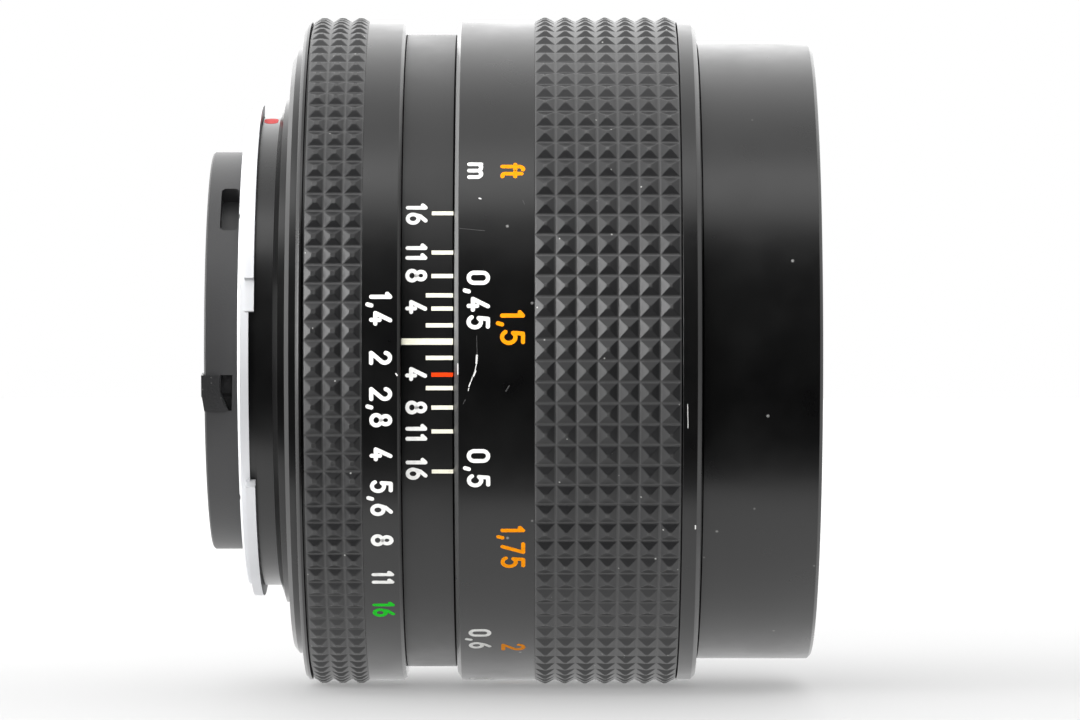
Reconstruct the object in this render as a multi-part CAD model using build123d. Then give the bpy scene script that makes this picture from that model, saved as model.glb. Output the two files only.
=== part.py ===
import os
from math import cos, radians, sin, sqrt

from build123d import *

# Prime camera lens, about 50 mm f/1.4, lying on its side.
# Frame: origin at the centre of the mount's flange face. +X is the optical axis towards the
# front glass, -Y is the side that carries the index line, +Z is up, where the red mounting
# mark is. Lengths are millimetres. "a" is a distance along +X from the flange face.
# Angles are degrees about +X from the index side, so a positive angle goes down that side.

# ---- Driving dimensions -----------------------------------------------------------------

BARREL_R = 31.0            # metal surface of the aperture and focus rings
GRIP_PEAK_R = 31.4         # points of the rubber pyramids
GRIP_VALLEY_R = 31.0
GRIP_SEAT_R = 30.2         # groove floor that the rubber bands lie in
CHAMFER = 0.3
FIT = 0.06                 # radial running clearance

MOUNT_R = 28.5             # fixed ring behind the aperture ring
FLANGE_R = 28.0
REGISTER_R = 23.7          # shoulder that centres the lens in the camera
NOSE_R = 22.1              # ring behind the register, in the camera's throat
REGISTER_A = -0.80
NOSE_A = -1.32
NOSE_REAR_A = -2.87
MOUNT_FRONT_A = 1.05

BAYONET_R = 22.0
BAYONET_A = (-4.5, -3.5)
SPIGOT_R = 21.7            # step of the mount base that carries the bayonet ring
TAB_R = 23.1
TAB_A = (-3.85, -3.0)
TAB_SPAN = 72.5
TAB_CENTRES = (-52.75, 69.05, 190.0)
TAB_STOP_R = 22.3          # low block beside the end of one tab
TAB_STOP = (-16.5, 7.4)    # its start and span

SHIELD_R = 18.7
SHIELD_BORE_R = 16.72      # clears the rear cell when the lens is focused at infinity
SHIELD_POCKET_R = 17.0     # floor of the window and of the opening beside the lever
SHIELD_REAR_A = -7.70
LEVER_R = (16.95, 17.6)
LEVER_REAR_A = -7.95
LEVER_RING_A = (-2.1, -1.3)
LEVER_SPAN = (7.0, 17.2)
LEVER_GROOVE = (-13.0, 28.0)   # start and span of the groove that its arm turns in

FIXED_R = 27.5             # running surface for the aperture and focus rings
FIXED_BORE_R = 26.3
FIXED_FRONT_A = 26.5
FIXED_FLANGE_A = 2.6

APERTURE_A = (1.1, 10.5)
APERTURE_GRIP_A = (1.85, 7.0)
APERTURE_TURN = (-5.4, 50.9)   # from rest to f/1.4 and to f/16, about -X
STOP_COUNT = 8                 # f/1.4, 2, 2.8, 4, 5.6, 8, 11 and 16

SCALE_A = (10.55, 15.2)
SCALE_R = 29.75

FOCUS_A = (15.26, 37.4)
FOCUS_GRIP_A = (22.47, 35.56)
FOCUS_LIP_A = 35.7
FOCUS_STEP_A = 26.6
FOCUS_BORE_R = 29.4
FOCUS_TURN = (-6.8, 208.8)     # from rest to 0.45 m and to infinity, about -X

HELICOID_R = 25.0
HELICOID_BORE_R = 23.6
HELICOID_A = (12.0, 36.6)
NUT_A = (11.0, 28.0)
KEY_A = (2.6, 21.0)        # guide keys that stop the optical barrel from turning
KEY_R = (22.9, 24.35)
KEY_WIDTH = 4.0
KEY_FOOT_A = (2.6, 3.2)
KEY_FOOT_R = (20.95, 24.1)
KEY_FOOT_WIDTH = 8.0
KEY_GROOVE_A = (8.0, 34.0)
KEY_GROOVE_R = 24.8

FRONT_BARREL_R = 29.0
FRONT_SKIRT_R = 28.6       # the part that slides inside the focus ring's lip
FRONT_WALL_A = 37.6
FRONT_A = 48.28
SKIRT_A = 35.95
FILTER_R = 27.1            # minor radius of the 55 x 0.75 filter thread
FILTER_PITCH = 0.75
FILTER_DEPTH = 0.4
FILTER_THREADS = 7
FILTER_SEAT_A = 41.3       # inner end of the threaded bore
NAME_RING_R = 26.55
NAME_RING_A = (39.35, 41.1)
NAME_RING_BORE_R = 20.6
NAME_RING_FALL = 1.4       # how far its cone falls from rim to bore
NAME_RING_STEPS = 7

CELL_R = 22.4
REAR_CELL_R = 16.6
IRIS_OPEN_R = 13.6
IRIS_PIVOT_R = 20.6
IRIS_FLOOR_A = (19.3, 19.9)
IRIS_BLADE_A = 20.0
IRIS_LAYER = 0.21
BLADE_THICKNESS = 0.12
BLADE_COUNT = 6
BLADE_CLOSED = 35.05       # swing of a blade from f/1.4 to f/16
DRIVE_RATIO = 0.5          # turn of the iris drive ring for each turn of the aperture ring
DRIVE_RING_A = (21.45, 22.05)
DRIVE_PIN_REACH = 2.4
DRIVE_PIN_ANGLE = -107.5   # from the pivot, with the blade open
PIN_R = 0.35

APERTURE_SPAN = APERTURE_TURN[1] - APERTURE_TURN[0]
STOP_PITCH = APERTURE_SPAN / (STOP_COUNT - 1)
BLADE_RATIO = BLADE_CLOSED / APERTURE_SPAN
BLADE_REST = -APERTURE_TURN[0] * BLADE_RATIO


# ---- Helpers ----------------------------------------------------------------------------

def turned(*outline):
    """A lathe part: a closed outline of (a, radius) points, turned about the axis."""
    return revolve(make_face(Polyline(*outline, close=True)), Axis.X, 360)


def tube(a, radius, bore):
    return turned((a[0], bore), (a[0], radius), (a[1], radius), (a[1], bore))


def sector(a, bore, radius, start, span):
    """A piece of tube from the angle start, over span degrees."""
    face = make_face(Polyline((a[0], -bore), (a[1], -bore), (a[1], -radius), (a[0], -radius), close=True))
    return turn(revolve(face, Axis.X, span), start)


def turn(shape, angle):
    return Rot(angle, 0, 0) * shape


def spread(shape, angles):
    return Part() + [turn(shape, angle) for angle in angles]


def ring_of(count, first=0.0):
    return [first + 360.0 * i / count for i in range(count)]


def axial_rod(a, radius, orbit, angle=0.0):
    rod = Pos((a[0] + a[1]) / 2, -orbit, 0) * Rot(0, 90, 0) * Cylinder(radius, a[1] - a[0])
    return turn(rod, angle)


def radial_rod(a, r, radius, angle=0.0):
    rod = Pos(a, -(r[0] + r[1]) / 2, 0) * Rot(90, 0, 0) * Cylinder(radius, r[1] - r[0])
    return turn(rod, angle)


def block(a, r, width):
    """A box from a[0] to a[1] along the axis and r[0] to r[1] out from it."""
    box = Box(a[1] - a[0], r[1] - r[0], width)
    return Pos((a[0] + a[1]) / 2, -(r[0] + r[1]) / 2, 0) * box


def screw(head_a, tip_a, head_r, shank_r, orbit):
    """An axial screw whose slotted head's top is at head_a and whose tip is at tip_a."""
    way = 1 if tip_a > head_a else -1
    seat = head_a + way * head_r * 0.7
    head = axial_rod(sorted((head_a, seat)), head_r, orbit)
    shank = axial_rod(sorted((seat, tip_a)), shank_r, orbit)
    slot = Pos(head_a, -orbit, 0) * Box(head_r * 0.7, head_r * 0.35, head_r * 3)
    return head + shank - slot


def ridged_band(a, columns, seat):
    """A rubber band with one ridge for each column of pyramids."""
    pitch = (a[1] - a[0]) / columns
    outline = [(a[1], seat), (a[0], seat), (a[0], GRIP_VALLEY_R)]
    for i in range(columns):
        outline.append((a[0] + (i + 0.5) * pitch, GRIP_PEAK_R))
        outline.append((a[0] + (i + 1) * pitch, GRIP_VALLEY_R))
    return turned(*outline)


def sag(curve, height):
    depth = abs(curve) - sqrt(curve**2 - height**2)
    return depth if curve > 0 else -depth


def glass(vertex, thickness, front, rear, edge, front_clear=None, rear_clear=None):
    """A lens element. A positive curve has its centre behind the surface."""
    front_h = front_clear or edge
    rear_h = rear_clear or edge
    back = vertex - thickness
    front_a = vertex - sag(front, front_h)
    rear_a = back - sag(rear, rear_h)
    lines = [
        ThreePointArc((vertex, 0), (vertex - sag(front, front_h / 2), front_h / 2), (front_a, front_h)),
        Line((front_a, edge), (rear_a, edge)),
        ThreePointArc((rear_a, rear_h), (back - sag(rear, rear_h / 2), rear_h / 2), (back, 0)),
        Line((back, 0), (vertex, 0)),
    ]
    if front_clear:
        lines.append(Line((front_a, front_h), (front_a, edge)))
    if rear_clear:
        lines.append(Line((rear_a, edge), (rear_a, rear_h)))
    return revolve(make_face(lines), Axis.X, 360)


# ---- Fixed barrel and mount -------------------------------------------------------------

SHIELD_FLANGE_R = 19.7
CAVITY_R = 20.4
BAYONET_SCREW_R = 21.0
MOUNT_SCREW_R = 22.2
BAYONET_SCREWS = ring_of(5, 38)
MOUNT_SCREWS = ring_of(4, 45)
WINDOW_A = (-6.45, -4.8)
WINDOW_ANGLE = -44.5
WINDOW_SPAN = 17.0


def rear_light_shield():
    body = turned(
        (SHIELD_REAR_A, SHIELD_BORE_R), (SHIELD_REAR_A, SHIELD_R - 0.15),
        (SHIELD_REAR_A + 0.15, SHIELD_R), (-3.88, SHIELD_R), (-3.88, SHIELD_FLANGE_R),
        (-2.9, SHIELD_FLANGE_R), (-2.9, SHIELD_BORE_R),
    )
    middle = (WINDOW_A[0] + WINDOW_A[1]) / 2
    corner = (WINDOW_A[1] - WINDOW_A[0]) * 0.3
    width = 2 * SHIELD_R * sin(radians(WINDOW_SPAN / 2))
    window = RectangleRounded(WINDOW_A[1] - WINDOW_A[0], width, corner)
    window = Pos(middle, -SHIELD_R, 0) * Rot(90, 0, 0) * extrude(window, 3, both=True)
    window = turn(window, WINDOW_ANGLE)
    # The opening beside the lever narrows to a point at its lower end.
    depth = [-SHIELD_R * sin(radians(angle)) for angle in (LEVER_SPAN[0], 12.0, LEVER_SPAN[1])]
    opening = make_face(Polyline(
        (-6.2, depth[0]), (-5.1, depth[0]), (-5.2, depth[2]), (-5.5, depth[2]), (-6.2, depth[1]),
        close=True,
    ))
    opening = Pos(0, -SHIELD_R, 0) * Rot(90, 0, 0) * extrude(opening, 3, both=True)
    for pocket in (window, opening):
        body -= pocket & tube((SHIELD_REAR_A, -3), SHIELD_R + 1, SHIELD_POCKET_R)
    groove = sector((SHIELD_REAR_A - 1, -2), LEVER_R[0] - 0.05, LEVER_R[1] + 0.15, *LEVER_GROOVE)
    return body - groove


def bayonet_ring():
    body = turned(
        (BAYONET_A[0], 18.8), (BAYONET_A[0], BAYONET_R - 0.2), (BAYONET_A[0] + 0.2, BAYONET_R),
        (BAYONET_A[1], BAYONET_R), (BAYONET_A[1], SHIELD_FLANGE_R + 0.05),
        (-3.9, SHIELD_FLANGE_R + 0.05), (-3.9, 18.8),
    )
    tab = sector(TAB_A, SPIGOT_R + FIT, TAB_R, -TAB_SPAN / 2, TAB_SPAN)
    body += spread(tab, TAB_CENTRES)
    body += sector(TAB_A, SPIGOT_R + FIT, TAB_STOP_R, *TAB_STOP)
    return body - spread(bayonet_screw_hole(), BAYONET_SCREWS)


def bayonet_screw_hole():
    return (axial_rod((-5.0, -3.805), 0.87, BAYONET_SCREW_R)
            + axial_rod((-4.0, -1.5), 0.5, BAYONET_SCREW_R))


def bayonet_screws():
    return spread(screw(-4.4, -1.6, 0.85, 0.48, BAYONET_SCREW_R), BAYONET_SCREWS)


def mount_base():
    body = turned(
        (NOSE_REAR_A, 18.0), (NOSE_REAR_A, SHIELD_FLANGE_R + 0.05),
        (BAYONET_A[1], SHIELD_FLANGE_R + 0.05), (BAYONET_A[1], SPIGOT_R), (NOSE_REAR_A, SPIGOT_R),
        (NOSE_REAR_A, NOSE_R), (NOSE_A, NOSE_R), (REGISTER_A, REGISTER_R),
        (0, REGISTER_R), (0, FLANGE_R), (0.4, MOUNT_R), (MOUNT_FRONT_A, MOUNT_R),
        (MOUNT_FRONT_A, CAVITY_R), (-2.2, CAVITY_R), (-2.2, 18.0),
    )
    body -= spread(bayonet_screw_hole(), BAYONET_SCREWS)
    return body - spread(mount_screw_hole(), MOUNT_SCREWS)


def mount_screw_hole():
    return axial_rod((-0.4, 2.0), 0.7, MOUNT_SCREW_R) + axial_rod((1.75, 3.0), 1.22, MOUNT_SCREW_R)


def mount_base_screws():
    return spread(screw(2.6, -0.3, 1.2, 0.68, MOUNT_SCREW_R), MOUNT_SCREWS)


def lever_keeper_ring():
    return tube((-1.2, -0.6), CAVITY_R, 17.9)


def lever_spring():
    coil = Helix(0.45, 8.1, 0.5)
    wire = sweep(Plane(coil @ 0, z_dir=coil % 0) * Circle(0.12), path=coil, is_frenet=True)
    return turn(Pos(0.25, -19.2, -4.05) * wire, 200)


STOP_PIN_ANGLES = (120.0, 300.0)
STOP_RING_A = (2.7, 3.9)
STOP_PIN_A = 3.3
STOP_PIN_R = 0.5
KEY_ANGLES = (90.0, 270.0)
KEY_SCREW_R = 22.4
KEY_SCREWS = (-8.5, 8.5)
CLICK_A = 8.5
CLICK_ANGLE = 170.0
CLICK_BALL_R = 0.6
CLICK_BALL_ORBIT = 26.85
SCALE_SCREW_ANGLES = (110.0, 180.0, 250.0)
SCALE_SCREW_A = 12.9


def fixed_barrel():
    body = turned(
        (MOUNT_FRONT_A, 20.6), (MOUNT_FRONT_A, FIXED_R), (FIXED_FRONT_A - CHAMFER, FIXED_R),
        (FIXED_FRONT_A, FIXED_R - CHAMFER), (FIXED_FRONT_A, FIXED_BORE_R),
        (FIXED_FLANGE_A, FIXED_BORE_R), (FIXED_FLANGE_A, 20.6),
    )
    body -= spread(mount_screw_hole(), MOUNT_SCREWS)
    # Two slots let the aperture ring's pins reach the stop ring inside. The ring turns about
    # -X, so its pins move to lower angles as the lens is stopped down.
    slot_start = -APERTURE_TURN[1] - 3
    slot = sector(
        (STOP_PIN_A - 0.6, STOP_PIN_A + 0.6), FIXED_BORE_R - 1, FIXED_R + 1,
        slot_start, APERTURE_SPAN + 6,
    )
    body -= spread(slot, STOP_PIN_ANGLES)
    body -= radial_rod(CLICK_A, (26, 28), CLICK_BALL_R + 0.03, CLICK_ANGLE)
    return body - spread(radial_rod(SCALE_SCREW_A, (27.0, 28.0), 0.7), SCALE_SCREW_ANGLES)


def click_ball():
    return turn(Pos(CLICK_A, -CLICK_BALL_ORBIT, 0) * Sphere(CLICK_BALL_R), CLICK_ANGLE)


def click_spring():
    leaf_top = CLICK_BALL_ORBIT - CLICK_BALL_R - 0.01
    leaf = sector((7.6, 9.4), leaf_top - 0.2, leaf_top, CLICK_ANGLE - 22, 26)
    foot = sector((7.6, 9.4), leaf_top - 0.2, FIXED_BORE_R, CLICK_ANGLE - 22, 5)
    return leaf + foot


def depth_scale_ring():
    body = turned(
        (SCALE_A[0], FIXED_R), (SCALE_A[0], SCALE_R), (SCALE_A[1] - 0.1, SCALE_R),
        (SCALE_A[1], SCALE_R - 0.1), (SCALE_A[1], FIXED_R),
    )
    body -= spread(radial_rod(SCALE_SCREW_A, (27, 30), 0.7), SCALE_SCREW_ANGLES)
    return body - axial_rod((14.0, 16.0), 0.5, STOP_ORBIT, STOP_ANGLE)


def depth_ring_screws():
    grub = radial_rod(SCALE_SCREW_A, (27.05, 29.5), 0.68)
    grub -= Pos(SCALE_SCREW_A, -29.5, 0) * Box(0.25, 0.6, 2)
    return spread(grub, SCALE_SCREW_ANGLES)


STOP_ORBIT = 28.65
STOP_ANGLE = 140.0


def focus_stop_pin():
    return axial_rod((14.05, 16.1), 0.48, STOP_ORBIT, STOP_ANGLE)


def guide_keys():
    key = block(KEY_A, KEY_R, KEY_WIDTH) + block(KEY_FOOT_A, KEY_FOOT_R, KEY_FOOT_WIDTH)
    return spread(key - spread(key_screw_hole(), KEY_SCREWS), KEY_ANGLES)


def key_screw_hole():
    return axial_rod((1.0, 4.0), 0.45, KEY_SCREW_R)


def guide_key_screws():
    pair = spread(screw(3.67, 2.61, 0.65, 0.43, KEY_SCREW_R), KEY_SCREWS)
    return spread(pair, KEY_ANGLES)


# ---- Stop-down lever --------------------------------------------------------------------

def stop_down_lever():
    ring = tube(LEVER_RING_A, 20.2, LEVER_R[0])
    arm = sector((LEVER_REAR_A, LEVER_RING_A[1]), *LEVER_R, LEVER_SPAN[0], 6)
    # The arm's end hooks over the shield's rear edge and lies on the outside of its wall.
    bridge = sector((LEVER_REAR_A, SHIELD_REAR_A - 0.06), LEVER_R[0], 19.0, LEVER_SPAN[0], 6)
    down = [-18.9 * sin(radians(angle)) for angle in (LEVER_SPAN[0], 12.0, LEVER_SPAN[1])]
    leaf = make_face(Polyline(
        (LEVER_REAR_A, down[0]), (-6.45, down[0]), (-6.3, down[0] - 0.15), (-6.25, down[1]),
        (-5.7, down[2]), (LEVER_REAR_A + 0.25, down[2]), (LEVER_REAR_A, down[1]), close=True,
    ))
    leaf = Rot(90, 0, 0) * extrude(leaf, 19)
    shell = tube((LEVER_REAR_A, -5), 19.0, SHIELD_R + 0.05)
    return ring + arm + bridge + (leaf & shell)


# ---- Aperture ring ----------------------------------------------------------------------

def aperture_ring():
    bore = FIXED_R + FIT
    body = turned(
        (APERTURE_A[0], bore), (APERTURE_A[0], BARREL_R - CHAMFER),
        (APERTURE_A[0] + CHAMFER, BARREL_R), (1.62, BARREL_R), (1.62, GRIP_SEAT_R),
        (APERTURE_GRIP_A[1], GRIP_SEAT_R), (APERTURE_GRIP_A[1], BARREL_R),
        (APERTURE_A[1] - CHAMFER, BARREL_R), (APERTURE_A[1], BARREL_R - CHAMFER),
        (APERTURE_A[1], bore),
    )
    # Click notches for the ball, one for each stop. At rest the ball is between two of them.
    notch = axial_rod((CLICK_A - 1, CLICK_A + 1), 0.5, bore + 0.25)
    first = CLICK_ANGLE + APERTURE_TURN[0]
    body -= spread(notch, [first + STOP_PITCH * i for i in range(STOP_COUNT)])
    return body - spread(radial_rod(STOP_PIN_A, (27, 29.6), STOP_PIN_R), STOP_PIN_ANGLES)


def aperture_grip():
    return ridged_band(APERTURE_GRIP_A, 3, GRIP_SEAT_R)


def stop_ring():
    body = tube(STOP_RING_A, FIXED_BORE_R - FIT, 24.6)
    return body - spread(radial_rod(STOP_PIN_A, (25.2, 28), STOP_PIN_R), STOP_PIN_ANGLES)


def stop_pins():
    return spread(radial_rod(STOP_PIN_A, (25.25, 29.5), STOP_PIN_R - 0.01), STOP_PIN_ANGLES)


# ---- Focus ring -------------------------------------------------------------------------

NUT_SCREW_R = 28.35
NUT_SCREWS = ring_of(6, 15)


def focus_ring():
    bore = FIXED_R + FIT
    body = turned(
        (FOCUS_A[0], bore), (FOCUS_A[0], 30.3), (FOCUS_A[0] + 0.4, BARREL_R),
        (FOCUS_GRIP_A[0], BARREL_R), (FOCUS_GRIP_A[0], GRIP_SEAT_R),
        (FOCUS_LIP_A, GRIP_SEAT_R), (FOCUS_LIP_A, BARREL_R), (FOCUS_A[1] - 0.4, BARREL_R),
        (FOCUS_A[1], BARREL_R - 0.4), (FOCUS_A[1], FRONT_BARREL_R + 0.1),
        (FOCUS_A[1] - 1, FRONT_BARREL_R + 0.1), (FOCUS_A[1] - 1, FOCUS_BORE_R),
        (FOCUS_STEP_A, FOCUS_BORE_R), (FOCUS_STEP_A, bore),
    )
    groove = sector(
        (FOCUS_A[0] - 1, 16.3), STOP_ORBIT - 0.6, STOP_ORBIT + 0.6,
        STOP_ANGLE + FOCUS_TURN[0] - 1.5, FOCUS_TURN[1] - FOCUS_TURN[0] + 3,
    )
    return body - groove - spread(nut_screw_hole(), NUT_SCREWS)


def nut_screw_hole():
    return axial_rod((24.4, 27.6), 0.6, NUT_SCREW_R) + axial_rod((27.395, 29), 0.87, NUT_SCREW_R)


def focus_grip():
    return ridged_band(FOCUS_GRIP_A, 7, GRIP_SEAT_R)


def focus_helicoid():
    bore = HELICOID_R + FIT
    body = turned(
        (NUT_A[0], bore), (NUT_A[0], FIXED_BORE_R - 0.1), (FOCUS_STEP_A, FIXED_BORE_R - 0.1),
        (FOCUS_STEP_A, FOCUS_BORE_R), (NUT_A[1], FOCUS_BORE_R), (NUT_A[1], bore),
    )
    return body - spread(nut_screw_hole(), NUT_SCREWS)


def focus_helicoid_screws():
    return spread(screw(NUT_A[1], 24.5, 0.85, 0.58, NUT_SCREW_R), NUT_SCREWS)


# ---- Optical barrel ---------------------------------------------------------------------

WEB_A = (36.6, 38.55)
WEB_SCREW_R = 24.3
WEB_SCREWS = ring_of(4, 30)


def front_barrel():
    """The smooth front tube, with the web that carries the glass and the filter thread."""
    outline = [
        (WEB_A[0], CELL_R + 0.05), (WEB_A[0], 28.2), (SKIRT_A, 28.2), (SKIRT_A, FRONT_SKIRT_R),
        (FRONT_WALL_A, FRONT_SKIRT_R), (FRONT_WALL_A, FRONT_BARREL_R),
        (FRONT_A - CHAMFER, FRONT_BARREL_R), (FRONT_A, FRONT_BARREL_R - CHAMFER),
        (FRONT_A, FILTER_R + 0.3), (FRONT_A - 0.3, FILTER_R),
    ]
    crest = FRONT_A - 0.9
    for i in range(FILTER_THREADS):
        start = crest - i * FILTER_PITCH
        outline += [
            (start, FILTER_R), (start - 0.3, FILTER_R + FILTER_DEPTH), (start - 0.6, FILTER_R),
        ]
    outline += [
        (FILTER_SEAT_A, FILTER_R), (FILTER_SEAT_A, NAME_RING_R + 0.05),
        (WEB_A[1], NAME_RING_R + 0.05), (WEB_A[1], CELL_R + 0.05),
    ]
    return turned(*outline) - spread(web_screw_hole(), WEB_SCREWS)


def web_screw_hole():
    return axial_rod((34.0, 38.1), 0.5, WEB_SCREW_R) + axial_rod((37.955, 39), 0.87, WEB_SCREW_R)


def front_barrel_screws():
    return spread(screw(WEB_A[1], 34.1, 0.85, 0.48, WEB_SCREW_R), WEB_SCREWS)


def inner_helicoid():
    body = tube(HELICOID_A, HELICOID_R, HELICOID_BORE_R)
    groove = block(KEY_GROOVE_A, (HELICOID_BORE_R - 0.4, KEY_GROOVE_R), KEY_WIDTH + 0.1)
    body -= spread(groove, KEY_ANGLES)
    return body - spread(web_screw_hole(), WEB_SCREWS)


def name_ring():
    """The blank ring round the front glass, with light-trap steps on its cone."""
    rim = NAME_RING_R - 0.5
    fall = NAME_RING_FALL / NAME_RING_STEPS
    back, front = NAME_RING_A
    outline = [(back, NAME_RING_R), (front, NAME_RING_R)]
    for i in range(NAME_RING_STEPS):
        radius = rim - i * (rim - NAME_RING_BORE_R) / NAME_RING_STEPS
        level = front - i * fall
        outline += [(level, radius), (level - fall, radius)]
    outline += [(front - NAME_RING_FALL, NAME_RING_BORE_R), (back, NAME_RING_BORE_R)]
    return turned(*outline)


def front_lens_cell():
    return turned(
        (22.7, 12.8), (22.7, CELL_R), (WEB_A[1], CELL_R), (WEB_A[1], 25.4), (39.3, 25.4),
        (39.3, 21.25), (35.9, 21.25), (35.9, 20.35), (34.42, 20.35), (34.42, 19.4), (30.2, 18.1),
        (30.2, 17.95), (28.9, 17.95), (28.9, 17.05), (27.03, 17.05), (27.03, 16.05),
        (23.36, 16.05), (23.36, 12.8),
    )


def front_retainer():
    return turned((35.95, 19.6), (35.95, 21.2), (37.2, 21.2), (37.2, 20.2))


def middle_retainer():
    return turned((28.95, 16.3), (28.95, 17.9), (30.0, 17.9), (30.0, 16.9))


def front_spacer():
    return tube((27.04, 27.36), 17.0, 16.1)


def lens_element_1():
    return glass(40.6, 4.6, 42, 140, 20.3)


def lens_element_2():
    return glass(35.6, 4.2, 23, 38, 17.0)


def lens_element_3():
    return glass(29.4, 1.4, 60, 19, 16.0, rear_clear=12.4)


def lens_element_4():
    return glass(14.5, 1.4, -19.5, 70, 13.4, front_clear=12.0)


def lens_element_5():
    return glass(13.1, 5.8, 70, -25, 13.4)


def lens_element_6():
    return glass(6.9, 3.6, -140, -42, 14.6)


def lens_element_7():
    return glass(2.9, 3.0, 95, -160, 14.6)


REAR_FLANGE_A = (17.8, IRIS_FLOOR_A[0])
CELL_SCREW_R = 17.6
CELL_SCREWS = ring_of(3, 20)


def rear_lens_cell():
    body = turned(
        (-0.35, 15.25), (-0.35, REAR_CELL_R - 0.2), (-0.15, REAR_CELL_R), (REAR_FLANGE_A[0], REAR_CELL_R),
        (REAR_FLANGE_A[0], 19.5), (REAR_FLANGE_A[1], 19.5), (REAR_FLANGE_A[1], 12.2),
        (18.68, 12.2), (18.68, 13.45), (10.2, 13.45), (10.2, 14.65), (0.5, 14.65), (0.5, 15.25),
    )
    return body - spread(cell_screw_hole(), CELL_SCREWS)


def cell_screw_hole():
    return axial_rod((17.5, 19.8), 0.4, CELL_SCREW_R)


def cell_screws():
    return spread(screw(17.33, 19.75, 0.65, 0.38, CELL_SCREW_R), CELL_SCREWS)


def rear_spacer_1():
    return turned((7.72, 13.0), (7.72, 14.6), (10.15, 14.6), (10.15, 13.4), (10.8, 13.4), (10.8, 12.9))


def rear_spacer_2():
    return tube((2.05, 5.35), 14.6, 13.3)


def rear_retainer():
    return turned((-0.3, 13.9), (-0.3, 15.2), (0.4, 15.2), (0.4, 13.6))


# ---- Iris -------------------------------------------------------------------------------

HOUSING_BORE_R = 22.1
HOUSING_R = 22.45
LUG_ANGLE = 200.0


def iris_housing():
    body = turned(
        (IRIS_FLOOR_A[0], IRIS_OPEN_R), (IRIS_FLOOR_A[0], HOUSING_R), (22.7, HOUSING_R),
        (22.7, HOUSING_BORE_R), (IRIS_FLOOR_A[1], HOUSING_BORE_R), (IRIS_FLOOR_A[1], IRIS_OPEN_R),
    )
    # The drive ring's lug comes out through this slot. It turns about -X as the iris closes.
    slot_start = LUG_ANGLE - 4 - APERTURE_TURN[1] * DRIVE_RATIO
    body -= sector((21.3, 23), 21.5, 23, slot_start, APERTURE_SPAN * DRIVE_RATIO + 8)
    body -= spread(cell_screw_hole(), CELL_SCREWS)
    pivot_hole = axial_rod((19, 20), PIN_R + FIT, IRIS_PIVOT_R)
    return body - spread(pivot_hole, ring_of(BLADE_COUNT))


def iris_cover():
    return tube((22.15, 22.6), HOUSING_BORE_R, 13.9)


def polar(radius, angle):
    """A point in the plane of the blades, seen from the front with the index side at 0."""
    return Vector(radius * cos(radians(angle)), radius * sin(radians(angle)))


def pin_place(swing):
    """Where a blade's drive pin is after the blade has swung inward by swing degrees."""
    return polar(IRIS_PIVOT_R, 0) + polar(DRIVE_PIN_REACH, DRIVE_PIN_ANGLE + swing)


def lay(face_or_solid):
    """Moves a flat outline from the XY plane to the blades' plane, extruding along +X."""
    return Plane((0, 0, 0), x_dir=(0, -1, 0), z_dir=(1, 0, 0)) * face_or_solid


def arc_band(inner, outer, start, end):
    middle = (start + end) / 2
    return make_face([
        ThreePointArc(polar(inner, start), polar(inner, middle), polar(inner, end)),
        Line(polar(inner, end), polar(outer, end)),
        ThreePointArc(polar(outer, end), polar(outer, middle), polar(outer, start)),
        Line(polar(outer, start), polar(inner, start)),
    ])


def iris_blade(number):
    """A crescent that turns on a pin into the housing, with a second pin in the drive ring."""
    level = IRIS_BLADE_A + IRIS_LAYER * number
    pivot = polar(IRIS_PIVOT_R, 0)
    drive = pin_place(0)
    tail = make_hull([
        *(Pos(pivot) * Circle(0.65)).edges(), *(Pos(drive) * Circle(0.65)).edges(),
        *(Pos(polar(17.5, 5)) * Circle(1.2)).edges(), *(Pos(polar(16.5, -2)) * Circle(0.8)).edges(),
    ])
    outline = arc_band(IRIS_OPEN_R, 19.2, -2, 116) + arc_band(18.5, 21.2, 6, 45) + tail
    blade = Pos(0, 0, level) * extrude(outline, BLADE_THICKNESS)
    pivot_pin = Pos(pivot.X, pivot.Y, IRIS_FLOOR_A[0] + 0.05) * Cylinder(
        PIN_R, level - IRIS_FLOOR_A[0], align=(Align.CENTER, Align.CENTER, Align.MIN))
    drive_pin = Pos(drive.X, drive.Y, level) * Cylinder(
        PIN_R, DRIVE_RING_A[1] - 0.05 - level, align=(Align.CENTER, Align.CENTER, Align.MIN))
    whole = blade + pivot_pin + drive_pin
    swung = Pos(pivot) * Rot(0, 0, BLADE_REST) * Pos(-pivot) * whole
    return turn(lay(swung), 360.0 * number / BLADE_COUNT)


def cam_slot():
    """The slot that a drive pin runs in, worked out from the pin's path in the ring's frame."""
    margin = 1.5
    steps = 8
    half = PIN_R + FIT
    path = []
    for i in range(steps + 1):
        turned_by = APERTURE_TURN[0] - margin + (APERTURE_SPAN + 2 * margin) * i / steps
        place = pin_place(BLADE_REST + BLADE_RATIO * turned_by)
        path.append(place.rotate(Axis.Z, DRIVE_RATIO * turned_by))
    line = Spline(*path)
    left, right = [], []
    for i in range(steps + 1):
        side = (line % (i / steps)).rotate(Axis.Z, 90) * half
        left.append((line @ (i / steps)) + side)
        right.append((line @ (i / steps)) - side)
    head = (line @ 1) + (line % 1) * half
    tail = (line @ 0) - (line % 0) * half
    face = make_face([
        Spline(*left), ThreePointArc(left[-1], head, right[-1]),
        Spline(*right), ThreePointArc(right[0], tail, left[0]),
    ])
    return lay(Pos(0, 0, DRIVE_RING_A[0] - 1) * extrude(face, 3))


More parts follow.
